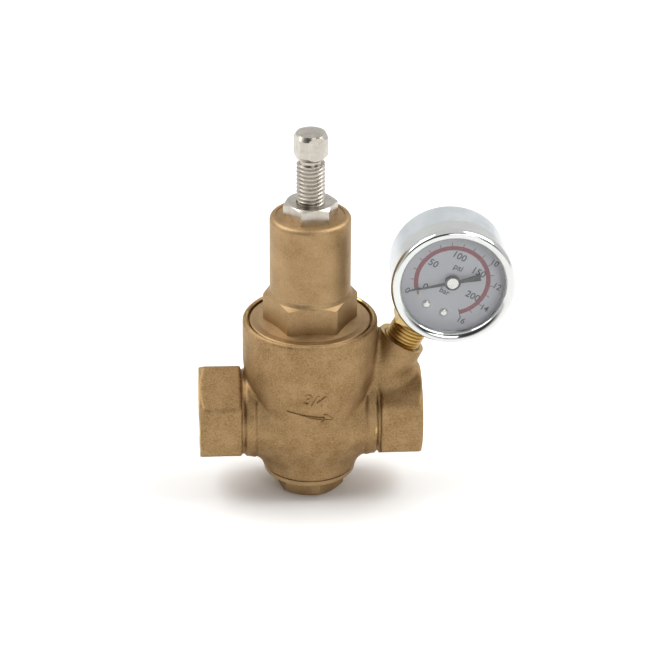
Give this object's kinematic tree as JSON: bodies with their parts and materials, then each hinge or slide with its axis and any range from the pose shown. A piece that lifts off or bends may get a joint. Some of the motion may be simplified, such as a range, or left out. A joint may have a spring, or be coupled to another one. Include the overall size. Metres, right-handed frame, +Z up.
{
  "type": "pressure reducing valve",
  "caption": "Brass spring-loaded pressure reducing valve with threaded ports, an adjusting screw on top and a dial gauge on a slanted outlet boss.",
  "frame": {"origin": "centre of the flat bottom of the plug's hexagon, on the spindle axis", "axes": "+Z up along the spindle, +X along the flow from the inlet to the outlet, -Y towards the gauge's face"},
  "size_m": [0.1112, 0.0482, 0.1403],
  "materials": {
    "cast_brass": "shot-blasted satin casting",
    "turned_brass": "turned, then blasted satin",
    "bar_brass": "bright turned bar",
    "stainless": "turned stainless steel",
    "spring_steel": "oiled spring steel",
    "zinc_screws": "plated steel",
    "plated_case": "satin zinc plate",
    "chrome_bezel": "bright chrome",
    "lens_glass": "clear flat lens",
    "dial_paint": "matt light grey enamel with print",
    "pointer_black": "black enamel",
    "rubber": "nitrile",
    "fibre": "pressed fibre"
  },
  "bodies": {
    "root": {"valve_body": "cast_brass", "bonnet": "turned_brass", "bottom_plug": "turned_brass", "plug_gasket": "fibre", "seat_ring": "stainless", "main_spring": "spring_steel", "gauge_stem": "bar_brass", "restrictor_screw": "bar_brass", "gauge_case": "plated_case", "case_screws": "zinc_screws", "gauge_bezel": "chrome_bezel", "gauge_lens": "lens_glass", "lens_gasket": "rubber", "gauge_dial": "dial_paint", "dial_screws": "zinc_screws", "dial_posts": "bar_brass", "stop_pin": "bar_brass", "bourdon_tube": "bar_brass", "tube_tip": "bar_brass", "movement_bottom_plate": "bar_brass", "movement_top_plate": "bar_brass", "movement_pillars": "bar_brass", "movement_screws": "zinc_screws", "hairspring": "bar_brass"},
    "valve_group": {"spindle": "stainless", "piston": "turned_brass", "piston_o_ring": "rubber", "stem_washer": "stainless", "stem_nut": "stainless", "seat_disc": "rubber", "disc_holder": "turned_brass", "disc_nut": "stainless"},
    "spring_seat": {"upper_spring_seat": "spring_steel"},
    "screw": {"adjusting_screw": "stainless"},
    "nut": {"lock_nut": "stainless"},
    "sector": {"sector_gear": "bar_brass"},
    "link": {"tip_link": "bar_brass"},
    "pointer": {"pinion_arbor": "stainless", "pointer": "pointer_black", "pointer_cap": "zinc_screws"}
  },
  "joints": [
    {"name": "valve_lift", "type": "slide", "parent": "root", "child": "valve_group", "axis": [0, 0, 1], "range_m": [0, 0.0023]},
    {"name": "screw_feed", "type": "slide", "parent": "root", "child": "spring_seat", "axis": [0, 0, 1], "range_m": [-0.012, 0.0015], "deforming": ["main_spring"]},
    {"name": "screw_turn", "type": "hinge", "parent": "spring_seat", "child": "screw", "pos_m": [0, 0, 0.1], "axis": [0, 0, 1], "range_deg": [-2880, 360]},
    {"name": "lock_nut_turn", "type": "hinge", "parent": "root", "child": "nut", "pos_m": [0, 0, 0.1078], "axis": [0, 0, 1], "range_deg": [0, 180]},
    {"name": "sector_turn", "type": "hinge", "parent": "root", "child": "sector", "pos_m": [0.04005, 0, 0.09213], "axis": [0, -1, 0], "range_deg": [0, 44.5]},
    {"name": "pointer_turn", "type": "hinge", "parent": "root", "child": "pointer", "pos_m": [0.04923, 0, 0.08704], "axis": [0, 1, 0], "range_deg": [0, 267]},
    {"name": "link_swing", "type": "hinge", "parent": "sector", "child": "link", "pos_m": [0.03799, 0, 0.09556], "axis": [0, 1, 0], "range_deg": [0, 44.5]}
  ],
  "couplings": [
    {"joint": "screw_feed", "follows": "screw_turn", "m_per_rad": 0.00023873},
    {"joint": "pointer_turn", "follows": "sector_turn", "ratio": 6},
    {"joint": "link_swing", "follows": "sector_turn", "ratio": 1}
  ]
}
